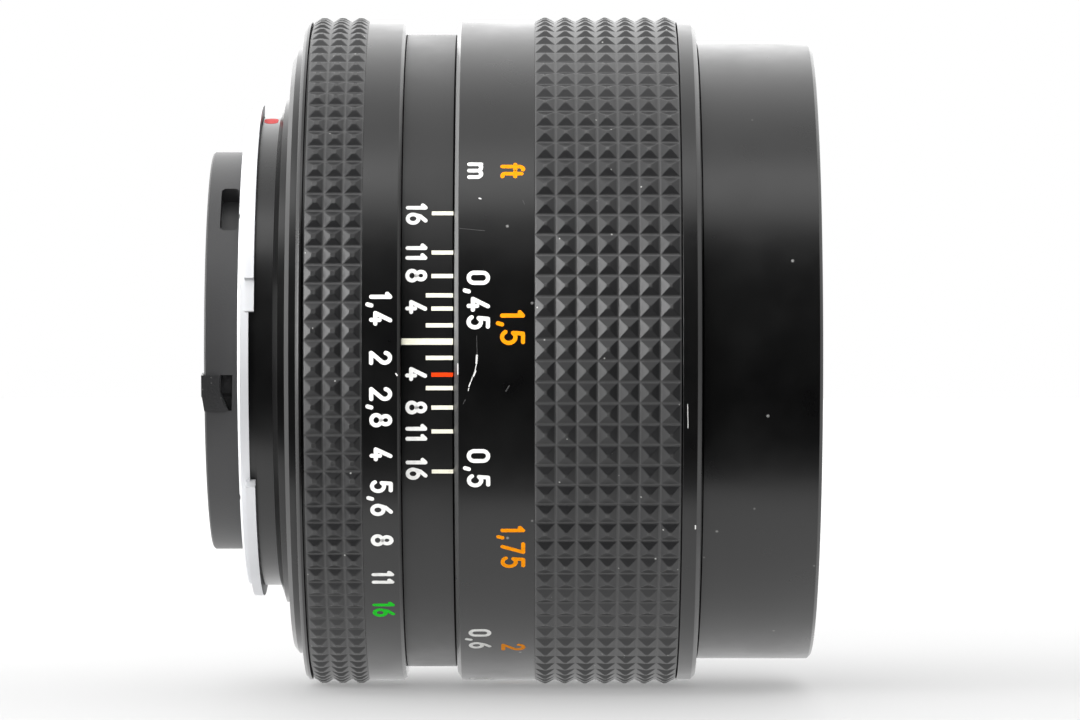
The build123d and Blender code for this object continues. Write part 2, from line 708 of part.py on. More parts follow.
def iris_drive_ring():
    body = tube(DRIVE_RING_A, HOUSING_BORE_R - FIT, 13.8)
    body -= spread(cam_slot(), ring_of(BLADE_COUNT))
    lug = sector(DRIVE_RING_A, HOUSING_BORE_R - 1, 23.4, LUG_ANGLE - 2, 4)
    rod = sector((12.5, DRIVE_RING_A[1]), 22.75, 23.4, LUG_ANGLE - 2, 4)
    return body + lug + rod


# ---- Writing the sub-parts --------------------------------------------------------------

NODES = {
    "rear_light_shield": rear_light_shield, "bayonet_ring": bayonet_ring,
    "bayonet_screws": bayonet_screws, "mount_base": mount_base,
    "mount_base_screws": mount_base_screws, "lever_keeper_ring": lever_keeper_ring,
    "lever_spring": lever_spring, "fixed_barrel": fixed_barrel, "click_ball": click_ball,
    "click_spring": click_spring, "depth_scale_ring": depth_scale_ring,
    "depth_ring_screws": depth_ring_screws, "focus_stop_pin": focus_stop_pin,
    "guide_keys": guide_keys, "guide_key_screws": guide_key_screws,
    "stop_down_lever": stop_down_lever, "aperture_ring": aperture_ring,
    "aperture_grip": aperture_grip, "stop_ring": stop_ring, "stop_pins": stop_pins,
    "focus_ring": focus_ring, "focus_grip": focus_grip, "focus_helicoid": focus_helicoid,
    "focus_helicoid_screws": focus_helicoid_screws, "front_barrel": front_barrel,
    "front_barrel_screws": front_barrel_screws, "inner_helicoid": inner_helicoid,
    "name_ring": name_ring, "front_lens_cell": front_lens_cell,
    "front_retainer": front_retainer, "middle_retainer": middle_retainer,
    "front_spacer": front_spacer, "lens_element_1": lens_element_1,
    "lens_element_2": lens_element_2, "lens_element_3": lens_element_3,
    "lens_element_4": lens_element_4, "lens_element_5": lens_element_5,
    "lens_element_6": lens_element_6, "lens_element_7": lens_element_7,
    "rear_lens_cell": rear_lens_cell, "cell_screws": cell_screws,
    "rear_spacer_1": rear_spacer_1, "rear_spacer_2": rear_spacer_2,
    "rear_retainer": rear_retainer, "iris_housing": iris_housing, "iris_cover": iris_cover,
    "iris_drive_ring": iris_drive_ring,
}

os.makedirs("parts", exist_ok=True)
for name, make in NODES.items():
    export_step(make(), f"parts/{name}.step")
for number in range(BLADE_COUNT):
    export_step(iris_blade(number), f"parts/iris_blade_{number + 1}.step")
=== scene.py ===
"""Prime camera lens, lying on its side: surfaces, markings and light.

Lengths are in millimetres until they become vertices, but the table's edges, the lights and the
measures of a material's texture are in metres. "a" is the distance along +X from the mount flange.
Angles are degrees round the axis, 0 at -Y and positive downwards.
"""

import random
from math import cos, degrees, radians, sin, sqrt, tan

import bpy
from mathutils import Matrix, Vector


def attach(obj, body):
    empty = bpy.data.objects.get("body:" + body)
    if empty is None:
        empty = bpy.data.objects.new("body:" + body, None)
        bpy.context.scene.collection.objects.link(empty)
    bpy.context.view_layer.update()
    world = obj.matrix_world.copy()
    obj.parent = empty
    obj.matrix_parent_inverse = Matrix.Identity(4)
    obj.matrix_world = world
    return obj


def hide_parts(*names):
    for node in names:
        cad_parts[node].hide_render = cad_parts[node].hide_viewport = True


MM = 0.001

# Rings, as in the CAD model
BARREL_R = 31.0
SCALE_R = 29.75
GRIP_SEAT_R = 30.2
NOSE_R = 22.1              # the part of the mount base that carries the mounting mark

# Rubber and knurled grips
FOCUS_GRIP = {"start": 22.47, "end": 35.56, "columns": 7, "round": 102}
APERTURE_GRIP = {"start": 1.85, "end": 7.0, "columns": 3, "round": 114}

# Camera and stage
CAMERA_DISTANCE = 550.0
CAMERA_AIM = (22.94, 0.0, -0.9)
CAMERA_FOCAL_LENGTH = 194.3
SENSOR_WIDTH = 36.0
FLOOR_DROP = 31.45         # from the axis to the table

DARK_SIDE = (0.34, -0.94, -0.05)   # the direction in which the room is dark
SKY = 1.5
SKY_BEHIND = 3.2
TABLE_NEAR = -1.5
TABLE_EDGE = -0.042        # in front of this, metal does not mirror the table
TABLE_FAR = 4.0
FLOOR_ALBEDO = 0.25
FLOOR_GLOW = 0.28
FLOOR_GLOW_FAR = 0.60
FLOOR_REFLECTED = 1.10

# Filter thread, as in the CAD model
THREAD_START = 47.38
THREAD_PITCH = 0.75
THREAD_COUNT = 7
FILTER_R = 27.1

# Lettering: where the foot and the head of the figures stand along the axis
APERTURE_ROW = (7.72, 9.77)
DEPTH_ROW = (10.90, 12.86)
METRE_ROW = (16.40, 18.49)
FEET_ROW = (19.38, 21.61)
INDEX_ANGLE = -1.43
INDEX_START = 10.57
INDEX_WIDTH = 0.57
TICK_END = 15.17
TICK_WIDTH = 0.38
SHORT_TICK = 13.24
LONG_TICK = 12.74
STROKE_WIDTH = 0.37
DEPTH_STROKE_WIDTH = 0.36
LETTER_GAP = 0.31

# Focusing: how far the optical barrel is drawn out at 0.45 m, the nearest distance, and where the
# marks for 0.45 m and infinity stand when the lens is at rest
LENS_FOCAL_LENGTH = 51.6
NEAREST_DRAW = 7.86
NEAREST_ANGLE = -8.4
INFINITY_ANGLE = 207.6
DEGREES_PER_MM = 27.48
MM_PER_FOOT = 304.8

# Modelling
TURN_STEPS = 360
EDGE_ROUND = 0.06
SHARP_ANGLE = 28
PAINT_PROUD = 0.008
PAINT_DEPTH = 0.05


# ---------------------------------------------------------------------------------------------
# Mesh helpers


def at(a, radius, angle):
    """A point at distance a along the axis, in metres."""
    phi = radians(angle)
    return Vector((a, -radius * cos(phi), -radius * sin(phi))) * MM


def piece(name, verts, faces, material, body, smooth=False):
    """A mesh object that rides on a body and has one material."""
    mesh = bpy.data.meshes.new(name)
    mesh.from_pydata(verts, [], faces)
    mesh.validate()
    obj = bpy.data.objects.new(name, mesh)
    bpy.context.scene.collection.objects.link(obj)
    for polygon in mesh.polygons:
        polygon.use_smooth = smooth
    mesh.materials.append(material.surface)
    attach(obj, body)
    return obj


def rounded(outline, radius):
    """A closed outline with each corner replaced by a small arc."""
    points = []
    count = len(outline)
    for i, corner in enumerate(outline):
        corner = Vector(corner)
        before = Vector(outline[i - 1]) - corner
        after = Vector(outline[(i + 1) % count]) - corner
        opening = before.angle(after)
        cut = min(radius / tan(opening / 2), before.length * 0.4, after.length * 0.4)
        start = corner + before.normalized() * cut
        end = corner + after.normalized() * cut
        for step in range(4):
            t = step / 3
            points.append(start * (1 - t) ** 2 + corner * 2 * t * (1 - t) + end * t * t)
    return points


def lathe(name, outline, material, body, stands_for=(), edge=EDGE_ROUND):
    """A ring turned from a closed (a, radius) outline, with slightly broken edges."""
    section = rounded(outline, edge)
    count = len(section)
    verts = [
        at(p[0], p[1], 360.0 * i / TURN_STEPS) for i in range(TURN_STEPS) for p in section
    ]
    faces = []
    for i in range(TURN_STEPS):
        here, there = i * count, ((i + 1) % TURN_STEPS) * count
        for j in range(count):
            k = (j + 1) % count
            faces.append((here + j, here + k, there + k, there + j))
    obj = piece(name, verts, faces, material, body, smooth=True)
    obj.modifiers.new("even_normals", "WEIGHTED_NORMAL").weight = 100
    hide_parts(*stands_for)
    return obj


def octagon(cut):
    """A square's outline with its corners cut, as (a, angle) shares, starting at (+a, -angle)."""
    near = 1 - cut
    return (
        (1, -near), (1, near), (near, 1), (-near, 1), (-1, near), (-1, -near), (-near, -1), (near, -1),
    )


def pyramid_grip(name, size, shape, material, body, stands_for, seed):
    """A ring of pyramids between shared valleys, with side walls down into its groove."""
    rng = random.Random(seed)
    columns, around = size["columns"], size["round"]
    pitch = (size["end"] - size["start"]) / columns
    step = 360.0 / around
    rise = shape["peak"] - shape["valley"]
    verts, faces = [], []

    def add(a, radius, angle):
        verts.append(at(a, radius, angle))
        return len(verts) - 1

    valley = {}
    for c in range(columns + 1):
        for k in range(around):
            valley[c, k] = add(size["start"] + c * pitch, shape["valley"], (k - 0.5) * step)

    for c in range(columns):
        for k in range(around):
            n = (k + 1) % around
            worn = abs(rng.gauss(0, shape["wear"]))
            lean_a = rng.uniform(-1, 1) * shape["jitter"] * pitch
            lean_angle = rng.uniform(-1, 1) * shape["jitter"] * step
            base = (valley[c + 1, k], valley[c + 1, n], valley[c, n], valley[c, k])
            below = None
            for spread, height, cut in shape["rings"]:
                ring = []
                for to_a, to_angle in octagon(cut):
                    ring.append(add(
                        size["start"] + (c + 0.5 + to_a * spread / 2) * pitch + lean_a * height,
                        shape["valley"] + (rise - worn) * height,
                        (k + to_angle * spread / 2) * step + lean_angle * height,
                    ))
                for q in range(8):
                    m = (q + 1) % 8
                    if below:
                        faces.append((below[q], ring[q], ring[m], below[m]))
                    elif q % 2:
                        faces.append((base[m // 2 % 4], ring[q], ring[m]))
                    else:
                        faces.append((base[q // 2], ring[q], ring[m], base[(q // 2 + 1) % 4]))
                below = ring
            faces.append(tuple(reversed(below)))

    for c, end_a in ((0, size["start"]), (columns, size["end"])):
        seat = [add(end_a, GRIP_SEAT_R - 0.1, (k - 0.5) * step) for k in range(around)]
        for k in range(around):
            n = (k + 1) % around
            wall = (valley[c, k], seat[k], seat[n], valley[c, n])
            faces.append(wall if c == 0 else wall[::-1])
    obj = piece(name, verts, faces, material, body)
    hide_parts(*stands_for)
    return obj


# ---------------------------------------------------------------------------------------------
# Painted marks


def ribbon(points, width, radius, square=False):
    """A stroke of paint on a cylinder: its sections from end to end, as pairs of (a, angle)."""
    half = width / 2
    steps = [Vector(p) for p in points]
    sections = []

    def section(centre, forward, reach):
        side = Vector((-forward.y, forward.x)) * reach
        sections.append((centre + side, centre - side))

    first = (steps[1] - steps[0]).normalized()
    last = (steps[-1] - steps[-2]).normalized()
    caps = () if square else (0, 25, 50, 70)
    for tilt in caps:
        reach = max(half * sin(radians(tilt)), 0.01)
        section(steps[0] - first * half * cos(radians(tilt)), first, reach)
    for i, point in enumerate(steps):
        before = (point - steps[i - 1]).normalized() if i else first
        after = (steps[i + 1] - point).normalized() if i + 1 < len(steps) else last
        section(point, (before + after).normalized(), half)
    for tilt in reversed(caps):
        reach = max(half * sin(radians(tilt)), 0.01)
        section(steps[-1] + last * half * cos(radians(tilt)), last, reach)
    return [
        tuple((side.y, degrees(side.x / radius)) for side in pair)
        for pair in sections
    ]


def marks(name, strokes, radius, material, body):
    """Paint strokes on the surface of a ring, filled from just below it. Each is a list of sections."""
    verts, faces = [], []
    for sections in strokes:
        first = len(verts)
        for left, right in sections:
            for level in (radius + PAINT_PROUD, radius - PAINT_DEPTH):
                verts.append(at(left[0], level, left[1]))
                verts.append(at(right[0], level, right[1]))
        count = len(sections)
        for i in range(count - 1):
            a, b = first + 4 * i, first + 4 * (i + 1)
            faces += [(a, a + 1, b + 1, b), (a + 2, b + 2, b + 3, a + 3)]
            faces += [(a, b, b + 2, a + 2), (a + 1, a + 3, b + 3, b + 1)]
        end = first + 4 * (count - 1)
        faces += [(first, first + 2, first + 3, first + 1), (end, end + 1, end + 3, end + 2)]
    return piece(name, verts, faces, material, body)


def moved(sections, a, angle):
    return [tuple((p[0] + a, p[1] + angle) for p in pair) for pair in sections]


def arc(x, y, rx, ry, start, end):
    """Points on an ellipse, in degrees anticlockwise from the right."""
    count = max(4, int(abs(end - start) / 12))
    angles = [radians(start + (end - start) * i / count) for i in range(count + 1)]
    return [(x + rx * cos(t), y + ry * sin(t)) for t in angles]


# Each glyph is its width, then its strokes, all in units of the height between stroke centres.
GLYPHS = {
    "0": (0.54, [
        arc(0.27, 0.72, 0.27, 0.28, 0, 180) + arc(0.27, 0.28, 0.27, 0.28, 180, 360) + [(0.54, 0.72)],
    ]),
    "1": (0.16, [[(0.0, 0.84), (0.16, 1.0)], [(0.16, 1.0), (0.16, 0.0)]]),
    "2": (0.52, [arc(0.26, 0.72, 0.26, 0.28, 170, -35) + [(0.0, 0.0)], [(0.0, 0.0), (0.53, 0.0)]]),
    "3": (0.50, [arc(0.24, 0.75, 0.23, 0.25, 155, -90), arc(0.24, 0.26, 0.26, 0.26, 90, -155)]),
    "4": (0.56, [[(0.38, 1.0), (0.0, 0.22)], [(0.0, 0.22), (0.56, 0.22)], [(0.36, 0.44), (0.36, 0.0)]]),
    "5": (0.52, [
        [(0.48, 1.0), (0.08, 1.0)], [(0.08, 1.0), (0.04, 0.52)],
        [(0.04, 0.52)] + arc(0.24, 0.32, 0.28, 0.32, 110, -150),
    ]),
    "6": (0.52, [arc(0.26, 0.30, 0.26, 0.30, 150, -210), [(0.02, 0.42), (0.12, 0.72), (0.38, 1.0)]]),
    "7": (0.50, [[(0.0, 1.0), (0.50, 1.0)], [(0.50, 1.0), (0.16, 0.0)]]),
    "8": (0.56, [arc(0.28, 0.76, 0.22, 0.24, -90, 270), arc(0.28, 0.26, 0.28, 0.26, 90, 450)]),
    ",": (0.06, [[(0.06, 0.0), (0.0, -0.2)]]),
    "m": (0.80, [
        [(0.0, 0.0), (0.0, 0.62)], arc(0.2, 0.42, 0.2, 0.2, 180, 0) + [(0.4, 0.0)],
        arc(0.6, 0.42, 0.2, 0.2, 180, 0) + [(0.8, 0.0)],
    ]),
    "f": (0.30, [arc(0.27, 0.82, 0.15, 0.18, 80, 180) + [(0.12, 0.0)], [(0.0, 0.62), (0.28, 0.62)]]),
    "t": (0.30, [
        [(0.12, 0.92), (0.12, 0.14)] + arc(0.24, 0.14, 0.12, 0.14, 200, 290),
        [(0.0, 0.62), (0.28, 0.62)],
    ]),
    "infinity": (1.0, [
        [(0.5 + 0.5 * sin(t) / (1 + cos(t) ** 2), 0.34 + 0.62 * sin(t) * cos(t) / (1 + cos(t) ** 2))
         for t in (radians(10 * i) for i in range(37))],
    ]),
}


def label(text, row, centre, radius, width=STROKE_WIDTH):
    """Strokes for a number that is read downwards, with its head towards +X."""
    bottom, top = row
    height = top - bottom - width
    glyphs = [GLYPHS[text]] if text in GLYPHS else [GLYPHS[letter] for letter in text]
    gap = width + LETTER_GAP
    total = sum(g[0] for g in glyphs) * height + gap * (len(glyphs) - 1)
    across = -total / 2
    strokes = []
    for glyph_width, lines in glyphs:
        for line in lines:
            dense = refine([(across + x * height, y * height) for x, y in line])
            strokes.append(moved(ribbon(dense, width, radius), bottom + width / 2, centre))
        across += glyph_width * height + gap
    return strokes


def refine(points, longest=0.25):
    """The same line, with points no further apart than longest."""
    out = [Vector(points[0])]
    for point in points[1:]:
        point = Vector(point)
        start = out[-1]
        count = max(1, int((point - start).length / longest))
        out += [start.lerp(point, (i + 1) / count) for i in range(count)]
    return out


def bar(start, end, angle, width, radius):
    """A straight mark along the axis, with square ends."""
    line = refine([(0.0, 0.0), (0.0, end - start)], 1.0)
    return moved(ribbon(line, width, radius, square=True), start, angle)


# ---------------------------------------------------------------------------------------------
# Materials


class Finish:
    """A node material, with the record slot that it stands for."""

    def __init__(self, name, slot, colour, roughness, metallic=0.0, **sockets):
        self.slot = slot
        self.surface = bpy.data.materials.new(name)
        self.surface.use_nodes = True
        self.tree = self.surface.node_tree
        self.shader = self.tree.nodes["Principled BSDF"]
        self.set("Base Color", (*colour, 1.0))
        self.set("Roughness", roughness)
        self.set("Metallic", metallic)
        for socket, value in sockets.items():
            self.set(socket.replace("_", " "), value)
        self.surface.diffuse_color = (*colour, 1.0)

    def set(self, socket, value):
        self.shader.inputs[socket].default_value = value

    def feed(self, socket, value):
        if isinstance(value, bpy.types.NodeSocket):
            self.tree.links.new(value, socket)
        else:
            socket.default_value = value

    def math(self, operation, first, second=0.0):
        made = self.tree.nodes.new("ShaderNodeMath")
        made.operation = operation
        self.feed(made.inputs[0], first)
        self.feed(made.inputs[1], second)
        return made.outputs[0]

    def ramp(self, value, low, high, to_low=0.0, to_high=1.0):
        """value from low..high to to_low..to_high, held at both ends."""
        made = self.tree.nodes.new("ShaderNodeMapRange")
        self.feed(made.inputs["Value"], value)
        made.inputs["From Min"].default_value = low
        made.inputs["From Max"].default_value = high
        made.inputs["To Min"].default_value = to_low
        made.inputs["To Max"].default_value = to_high
        return made.outputs["Result"]

    def place(self):
        """The position on the object, in metres, and the distance from the axis."""
        coord = self.tree.nodes.new("ShaderNodeTexCoord").outputs["Object"]
        split = self.tree.nodes.new("ShaderNodeSeparateXYZ")
        self.feed(split.inputs[0], coord)
        x, y, z = split.outputs
        squares = self.math("ADD", self.math("POWER", y, 2.0), self.math("POWER", z, 2.0))
        radius = self.math("SQRT", squares)
        return coord, x, radius

    def noise(self, vector, scale, detail=3.0, rough=0.5):
        made = self.tree.nodes.new("ShaderNodeTexNoise")
        self.feed(made.inputs["Vector"], vector)
        made.inputs["Scale"].default_value = scale
        made.inputs["Detail"].default_value = detail
        made.inputs["Roughness"].default_value = rough
        return made.outputs["Fac"]

    def mix(self, factor, first, second):
        made = self.tree.nodes.new("ShaderNodeMix")
        made.data_type = "RGBA"
        self.feed(made.inputs["Factor"], factor)
        self.feed(made.inputs["A"], first)
        self.feed(made.inputs["B"], second)
        return made.outputs["Result"]

    def bump(self, height, distance, strength=1.0):
        made = self.tree.nodes.new("ShaderNodeBump")
        made.inputs["Distance"].default_value = distance
        made.inputs["Strength"].default_value = strength
        self.feed(made.inputs["Height"], height)
        if self.shader.inputs["Normal"].is_linked:
            earlier = self.shader.inputs["Normal"].links[0].from_socket
            self.feed(made.inputs["Normal"], earlier)
        self.feed(self.shader.inputs["Normal"], made.outputs["Normal"])

    def lathe_lines(self, pitch, depth, strength):
        """Fine tool marks that run round the axis."""
        _, x, radius = self.place()
        along = self.math(
            "ADD", self.math("MULTIPLY", x, 1.0 / pitch), self.math("MULTIPLY", radius, 1.0 / pitch),
        )
        grooves = self.tree.nodes.new("ShaderNodeTexNoise")
        grooves.noise_dimensions = "1D"
        self.feed(grooves.inputs["W"], along)
        grooves.inputs["Scale"].default_value = 1.0
        grooves.inputs["Detail"].default_value = 2.0
        self.bump(grooves.outputs["Fac"], depth, strength)

    def painted_edge_highlight(self, start, end, above, below):
        """A turned edge from start to end, given a painted highlight that is paler towards the top and
        darker towards the bottom.
        """
        coord, x, _ = self.place()
        split = self.tree.nodes.new("ShaderNodeSeparateXYZ")
        self.feed(split.inputs[0], coord)
        # Painted highlight: the edge's colour runs from below at the bottom to above at the top, as the
        # light falls on it.
        height = self.ramp(split.outputs["Z"], -2 * MM, 2 * MM)
        painted_highlight_tone = self.mix(height, (*below, 1.0), (*above, 1.0))
        near = self.math(
            "MULTIPLY", self.math("GREATER_THAN", x, start * MM), self.math("LESS_THAN", x, end * MM),
        )
        base = self.shader.inputs["Base Color"]
        under = base.links[0].from_socket
        self.feed(base, self.mix(near, under, painted_highlight_tone))

    def grain(self, scale, depth, strength):
        coord, _, _ = self.place()
        self.bump(self.noise(coord, scale), depth, strength)

    def dust(self, scale, coverage, colour, amount=0.5):
        """Sparse pale specks over the base colour."""
        coord, _, _ = self.place()
        specks = self.tree.nodes.new("ShaderNodeTexVoronoi")
        specks.inputs["Scale"].default_value = scale
        self.feed(specks.inputs["Vector"], coord)
        pick = self.tree.nodes.new("ShaderNodeSeparateColor")
        self.feed(pick.inputs[0], specks.outputs["Color"])
        chosen = self.math("LESS_THAN", pick.outputs[0], coverage)
        close = self.ramp(specks.outputs["Distance"], 0.05, 0.16, 1.0, 0.0)
        mask = self.math("MULTIPLY", self.math("MULTIPLY", chosen, close), amount)
        base = self.shader.inputs["Base Color"]
        under = base.links[0].from_socket if base.is_linked else tuple(base.default_value)
        self.feed(base, self.mix(mask, under, (*colour, 1.0)))


def black_metal(name, slot, roughness):
    """Satin black anodised aluminium with fine turning marks and faint handling marks."""
    finish = Finish(name, slot, (0.0015, 0.0015, 0.0016), roughness, Specular_IOR_Level=0.5)
    coord, _, _ = finish.place()
    smudge = finish.noise(coord, 140.0, 4.0, 0.6)
    uneven = finish.ramp(smudge, 0.3, 0.7, roughness - 0.04, roughness + 0.05)
    finish.feed(finish.shader.inputs["Roughness"], uneven)
    colour = finish.mix(
        finish.ramp(smudge, 0.35, 0.75), (0.0010, 0.0010, 0.0011, 1.0), (0.0022, 0.0022, 0.0022, 1.0),
    )
    finish.feed(finish.shader.inputs["Base Color"], colour)
    finish.dust(900.0, 0.02, (0.35, 0.35, 0.34), 0.5)
    finish.lathe_lines(0.000085, 0.000004, 0.5)
    finish.grain(9000.0, 0.000004, 0.25)
    return finish


def grip_finish(name, slot, valley, peak, roughness):
    """Moulded grip, paler where it is worn at the tips and dusty in the valleys."""
    finish = Finish(name, slot, (0.006, 0.006, 0.0065), roughness, Specular_IOR_Level=0.5)
    coord, _, radius = finish.place()
    in_valley = finish.ramp(radius, (valley + 0.015) * MM, (valley + 0.07) * MM, 1.0, 0.0)
    at_tip = finish.ramp(radius, (peak - 0.09) * MM, peak * MM)
    patchy = finish.ramp(finish.noise(coord, 420.0, 3.0), 0.35, 0.7)
    dusty = finish.math("MULTIPLY", in_valley, 0.55)
    colour = finish.mix(dusty, (0.006, 0.006, 0.0065, 1.0), (0.05, 0.05, 0.05, 1.0))
    worn = finish.math("MULTIPLY", finish.math("MULTIPLY", at_tip, patchy), 0.5)
    colour = finish.mix(worn, colour, (0.09, 0.09, 0.088, 1.0))
    finish.feed(finish.shader.inputs["Base Color"], colour)
    finish.dust(1500.0, 0.05, (0.5, 0.5, 0.48), 0.6)
    finish.grain(6000.0, 0.00001, 0.35)
    return finish


def bright_metal(name, slot, colour, roughness):
    """Plated or machined metal with turning marks."""
    finish = Finish(name, slot, colour, roughness, metallic=1.0)
    coord, _, _ = finish.place()
    cloud = finish.noise(coord, 260.0, 3.0)
    uneven = finish.ramp(cloud, 0.3, 0.7, roughness - 0.04, roughness + 0.06)
    finish.feed(finish.shader.inputs["Roughness"], uneven)
    finish.lathe_lines(0.00012, 0.000003, 0.4)
    return finish


def paint(name, slot, colour):
    """Filled marking paint, very slightly uneven."""
    finish = Finish(name, slot, colour, 0.55, Specular_IOR_Level=0.1)
    coord, _, _ = finish.place()
    uneven = finish.ramp(finish.noise(coord, 2600.0, 3.0), 0.3, 0.7)
    darker = tuple(c * 0.86 for c in colour)
    finish.feed(finish.shader.inputs["Base Color"], finish.mix(uneven, (*darker, 1.0), (*colour, 1.0)))
    finish.grain(5000.0, 0.00001, 0.3)
    return finish


anodised = black_metal("anodised_black", "anodised_black", 0.30)
scale_metal = black_metal("scale_black", "scale_black", 0.40)
focus_metal = black_metal("focus_black", "anodised_black", 0.30)
# The rear edge of the focus ring gets a painted highlight, pale grey at the top and darker grey at the
# bottom.
focus_metal.painted_edge_highlight(15.30, 15.63, (0.13, 0.13, 0.13), (0.045, 0.045, 0.045))
bare_metal = Finish("bare_metal", "anodised_black", (0.55, 0.55, 0.54), 0.5)
faint_mark = Finish("faint_mark", "anodised_black", (0.035, 0.035, 0.035), 0.5)
focus_rubber = grip_finish("focus_rubber", "rubber", 30.98, 31.4, 0.42)
knurl_black = grip_finish("aperture_knurl", "rubber", 30.95, 31.35, 0.45)
chrome = bright_metal("satin_chrome", "chrome", (0.56, 0.565, 0.58), 0.5)
chrome.set("Metallic", 0.55)
steel = bright_metal("steel", "steel", (0.55, 0.55, 0.55), 0.32)
brass = bright_metal("brass", "brass", (0.72, 0.52, 0.24), 0.3)
aluminium = bright_metal("aluminium", "aluminium", (0.62, 0.62, 0.63), 0.38)
white_paint = paint("white_paint", "scale_black", (0.76, 0.76, 0.74))
cream_paint = paint("cream_paint", "scale_black", (0.74, 0.72, 0.60))
orange_red_paint = paint("orange_red_paint", "scale_black", (0.72, 0.045, 0.002))
orange_paint = paint("orange_paint", "anodised_black", (0.76, 0.245, 0.0))
green_paint = paint("green_paint", "anodised_black", (0.012, 0.50, 0.02))
red_paint = paint("red_paint", "anodised_black", (0.62, 0.02, 0.02))
shield_paint = Finish("shield_black", "shield_black", (0.017, 0.017, 0.0175), 0.5)
shield_paint.grain(5200.0, 0.00002, 0.6)
lever_black = Finish("lever_black", "shield_black", (0.010, 0.010, 0.0105), 0.42)
lever_black.dust(2400.0, 0.35, (0.22, 0.22, 0.21), 0.5)
lever_black.grain(4200.0, 0.00004, 0.7)
blade_black = Finish(
    "blade_black", "blade_black", (0.012, 0.012, 0.013), 0.42, Specular_IOR_Level=0.4,
)
blade_black.grain(7000.0, 0.000004, 0.3)
glass = Finish(
    "lens_glass", "lens_glass", (1.0, 1.0, 1.0), 0.0, Transmission_Weight=1.0, IOR=1.52,
    Coat_Weight=0.25, Coat_Tint=(0.90, 0.95, 1.0, 1.0), Coat_Roughness=0.0,
)

BY_SLOT = {
    "anodised_black": anodised,
    "scale_black": scale_metal,
    "rubber": focus_rubber,
    "chrome": chrome,
    "steel": steel,
    "brass": brass,
    "aluminium": aluminium,
    "shield_black": shield_paint,
    "blade_black": blade_black,
    "lens_glass": glass,
}
BY_NODE = {"stop_down_lever": lever_black}


def smooth_group():
    """A modifier group that shades a CAD mesh smoothly except over sharp edges."""
    group = bpy.data.node_groups.new("smooth_cad", "GeometryNodeTree")
    group.interface.new_socket("Geometry", in_out="INPUT", socket_type="NodeSocketGeometry")
    group.interface.new_socket("Geometry", in_out="OUTPUT", socket_type="NodeSocketGeometry")
    start = group.nodes.new("NodeGroupInput")
    end = group.nodes.new("NodeGroupOutput")
    faces = group.nodes.new("GeometryNodeSetShadeSmooth")
    edges = group.nodes.new("GeometryNodeSetShadeSmooth")
    edges.domain = "EDGE"
    angle = group.nodes.new("GeometryNodeInputMeshEdgeAngle")
    flat = group.nodes.new("FunctionNodeCompare")
    flat.data_type = "FLOAT"
    flat.operation = "LESS_EQUAL"
    flat.inputs["B"].default_value = radians(SHARP_ANGLE)
    join = group.nodes.new("GeometryNodeMergeByDistance")
    join.inputs["Distance"].default_value = 1e-7
    group.links.new(start.outputs[0], join.inputs["Geometry"])
    group.links.new(join.outputs[0], faces.inputs["Geometry"])
    group.links.new(faces.outputs[0], edges.inputs["Geometry"])
    group.links.new(angle.outputs["Unsigned Angle"], flat.inputs["A"])
    group.links.new(flat.outputs[0], edges.inputs["Shade Smooth"])
    group.links.new(edges.outputs[0], end.inputs[0])
    return group


# ---------------------------------------------------------------------------------------------
# The object

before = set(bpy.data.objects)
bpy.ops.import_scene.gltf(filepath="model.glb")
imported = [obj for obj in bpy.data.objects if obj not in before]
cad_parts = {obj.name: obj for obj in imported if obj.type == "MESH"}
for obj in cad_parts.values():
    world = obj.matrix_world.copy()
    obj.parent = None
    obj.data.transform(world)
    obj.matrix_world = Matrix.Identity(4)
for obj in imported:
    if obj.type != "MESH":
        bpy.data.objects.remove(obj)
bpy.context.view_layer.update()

smoothing = smooth_group()
for name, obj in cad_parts.items():
    finish = BY_NODE.get(name) or BY_SLOT[obj.data.materials[0].name.split(".")[0]]
    obj.data.materials.clear()
    obj.data.materials.append(finish.surface)
    obj.modifiers.new("smooth", "NODES").node_group = smoothing

lathe("aperture_ring_body", [
    (1.1, 27.56), (1.1, 30.7), (1.4, 31.0), (1.62, 31.0), (1.62, 30.2), (7.0, 30.2), (7.0, 31.0),
    (10.2, 31.0), (10.5, 30.7), (10.5, 27.56),
], anodised, "aperture", ["aperture_ring"])

lathe("depth_scale_body", [
    (10.55, 27.5), (10.55, 29.75), (15.1, 29.75), (15.2, 29.65), (15.2, 27.5),
], scale_metal, "barrel", ["depth_scale_ring"], edge=0.04)

lathe("focus_ring_body", [
    (15.26, 27.56), (15.26, 30.3), (15.66, 31.0), (22.47, 31.0), (22.47, 30.2), (35.7, 30.2),
    (35.7, 31.0), (37.0, 31.0), (37.4, 30.6), (37.4, 29.1), (36.4, 29.1), (36.4, 29.4),
    (26.6, 29.4), (26.6, 27.56),
], focus_metal, "focus", ["focus_ring"])

thread = []
for groove in range(THREAD_COUNT):
    crest = THREAD_START - THREAD_PITCH * groove
    thread += [(crest, FILTER_R), (crest - 0.3, FILTER_R + 0.4), (crest - 0.6, FILTER_R)]
lathe("front_barrel_body", [
    (36.6, 22.45), (36.6, 28.2), (35.95, 28.2), (35.95, 28.6), (37.6, 28.6), (37.6, 29.0),
    (47.98, 29.0), (48.28, 28.7), (48.28, 27.4), (47.98, 27.1), *thread, (41.3, 27.1),
    (41.3, 26.6), (38.55, 26.6), (38.55, 22.45),
], anodised, "optics", ["front_barrel"])

pyramid_grip("focus_grip_rubber", FOCUS_GRIP, {
    "valley": 30.98, "peak": 31.4, "jitter": 0.015, "wear": 0.012,
    "rings": ((0.92, 0.05, 0.05), (0.24, 0.84, 0.22), (0.11, 0.97, 0.4)),
}, focus_rubber, "focus", ["focus_grip"], seed=3)

